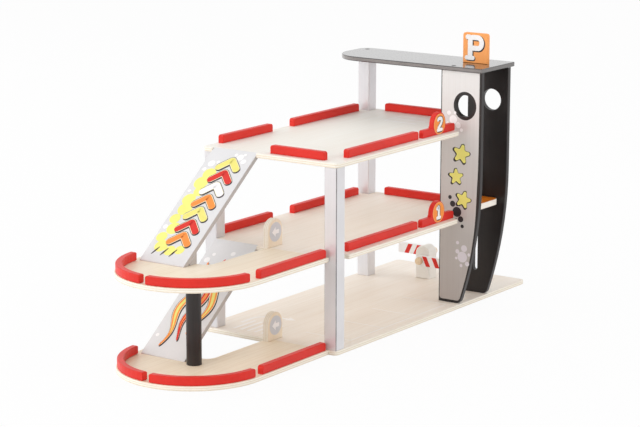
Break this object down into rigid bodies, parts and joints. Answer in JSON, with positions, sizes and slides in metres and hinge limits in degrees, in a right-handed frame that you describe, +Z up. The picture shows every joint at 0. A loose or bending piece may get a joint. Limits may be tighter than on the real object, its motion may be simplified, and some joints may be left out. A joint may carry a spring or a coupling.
{
  "type": "toy parking garage with lift",
  "caption": "Wooden toy parking garage: plywood floors on posts, ramps between round landings, kerbs, a lift in a tower with round windows, and a barrier booth with booms.",
  "frame": {"origin": "middle of the rectangle that the garage covers, on the surface it stands on", "axes": "+X along the floors from the round landings to the tower and the barrier, +Y from the tower's open front to the back, +Z up"},
  "size_m": [0.825, 0.2834, 0.4296],
  "materials": {
    "birch_plywood": "clear satin lacquer on pale birch plywood",
    "birch_plywood_track": "clear satin lacquer on pale birch plywood, slightly yellower",
    "silver_paint": "pale silver grey paint on wood, satin",
    "black_satin_paint": "black paint on wood, satin, with a faint grain",
    "black_gloss_paint": "glossy black lacquer on plywood",
    "red_paint": "bright red paint on wood, satin",
    "orange_paint": "orange paint on plywood, satin",
    "grey_paint": "warm light grey paint on wood, satin",
    "white_paint": "white paint with red slanted bands, satin",
    "bare_wood": "bare pale wood, sanded",
    "screw_steel": "zinc plated",
    "felt": "grey felt"
  },
  "bodies": {
    "garage": {"base_board": "birch_plywood", "ground_track": "birch_plywood_track", "level_1_track": "birch_plywood_track", "level_1_deck": "birch_plywood", "level_2_deck": "birch_plywood", "front_left_post": "silver_paint", "back_left_post": "silver_paint", "back_right_post": "silver_paint", "landing_post": "black_satin_paint", "lower_ramp": "silver_paint", "lower_ramp_wedge": "silver_paint", "upper_ramp": "silver_paint", "upper_ramp_wedge": "silver_paint", "ground_kerb_left_arc": "red_paint", "ground_kerb_front_arc": "red_paint", "ground_track_kerb": "red_paint", "level_1_kerb_left_arc": "red_paint", "level_1_kerb_front_arc": "red_paint", "level_1_track_kerb": "red_paint", "level_1_kerb_front": "red_paint", "level_1_kerb_back_left": "red_paint", "level_1_kerb_back_right": "red_paint", "level_1_kerb_right": "red_paint", "number_kerb_1": "red_paint", "level_2_kerb_front": "red_paint", "level_2_kerb_back_left": "red_paint", "level_2_kerb_back_right": "red_paint", "level_2_kerb_right": "red_paint", "number_kerb_2": "red_paint", "level_2_kerb_left": "red_paint", "ground_arrow_sign": "bare_wood", "level_1_arrow_sign": "bare_wood", "tower_inner_panel": "black_satin_paint", "tower_outer_panel": "black_satin_paint", "tower_roof": "black_gloss_paint", "parking_sign": "orange_paint", "barrier_booth": "grey_paint", "near_boom_peg": "bare_wood", "far_boom_peg": "bare_wood", "front_left_post_screw": "screw_steel", "back_left_post_screw": "screw_steel", "back_right_post_screw": "screw_steel", "inner_panel_screw": "screw_steel", "outer_panel_screw": "screw_steel", "landing_post_screw": "screw_steel", "roof_screw_inner": "screw_steel", "roof_screw_outer": "screw_steel", "roof_screw_post": "screw_steel", "front_left_post_dowel": "bare_wood", "back_left_post_dowel": "bare_wood", "landing_post_dowel": "bare_wood", "ground_seam_dowel": "bare_wood", "level_1_seam_dowel": "bare_wood"},
    "lift": {"lift_platform": "orange_paint", "lift_bracket": "birch_plywood", "lift_pin": "bare_wood", "lift_washer": "felt", "lift_knob": "bare_wood"},
    "near_boom": {"near_boom": "white_paint"},
    "far_boom": {"far_boom": "white_paint"}
  },
  "joints": [
    {"name": "lift_slide", "type": "slide", "parent": "garage", "child": "lift", "axis": [0, 0, 1], "range_m": [-0.149, 0.1177]},
    {"name": "near_boom_hinge", "type": "hinge", "parent": "garage", "child": "near_boom", "pos_m": [0.3155, 0.03315, 0.0385], "axis": [-1, 0, 0], "range_deg": [0, 90]},
    {"name": "far_boom_hinge", "type": "hinge", "parent": "garage", "child": "far_boom", "pos_m": [0.3475, 0.03315, 0.0475], "axis": [1, 0, 0], "range_deg": [0, 90]}
  ]
}
